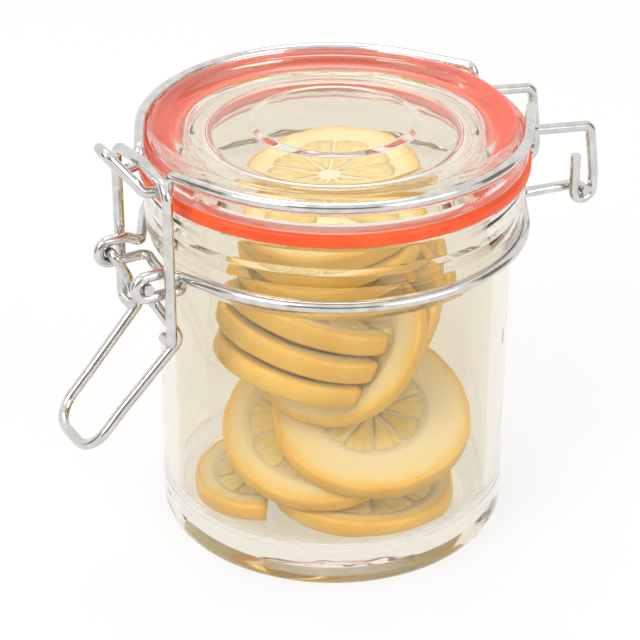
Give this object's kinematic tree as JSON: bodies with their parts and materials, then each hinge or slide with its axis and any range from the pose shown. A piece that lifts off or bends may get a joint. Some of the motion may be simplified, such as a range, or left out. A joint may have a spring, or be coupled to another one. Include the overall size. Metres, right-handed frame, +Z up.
{
  "type": "airtight glass jar",
  "caption": "Small round glass jar with a clamp lid, a rubber sealing ring and a sprung wire closure, filled with lemon slices.",
  "frame": {"origin": "on the jar's axis, on the plane its base ring stands on", "axes": "+Z up along the jar's axis, +X towards the lid's hinge, -X towards the clasp, Y along the hinge and clasp pins"},
  "size_m": [0.1089, 0.074, 0.0872],
  "materials": {
    "glass": "pressed and fire-polished soda-lime glass",
    "gasket": "matt orange natural rubber",
    "wire": "bright plated steel wire",
    "lemon": "moist cut lemon: waxy rind, white pith and translucent pulp"
  },
  "bodies": {
    "jar": {"jar_glass": "glass", "lid_glass": "glass", "gasket": "gasket", "lid_wire": "wire", "neck_wire": "wire", "lemon_floor": "lemon", "lemon_back": "lemon", "lemon_front": "lemon", "lemon_right_1": "lemon", "lemon_right_2": "lemon", "lemon_right_3": "lemon", "lemon_right_4": "lemon", "lemon_right_5": "lemon", "lemon_left_1": "lemon", "lemon_left_2": "lemon", "lemon_left_3": "lemon", "lemon_left_4": "lemon", "lemon_left_5": "lemon", "lemon_left_6": "lemon"},
    "lever": {"lever": "wire"},
    "bail": {"bail": "wire"}
  },
  "joints": [
    {"name": "lever_pivot", "type": "hinge", "parent": "jar", "child": "lever", "pos_m": [-0.0428, 0, 0.0617], "axis": [0, 1, 0], "range_deg": [0, 120]},
    {"name": "bail_pivot", "type": "hinge", "parent": "lever", "child": "bail", "pos_m": [-0.0393, 0, 0.0502], "axis": [0, 1, 0], "range_deg": [-86, 0]}
  ],
  "couplings": [
    {"joint": "bail_pivot", "follows": "lever_pivot", "ratio": -0.66}
  ]
}
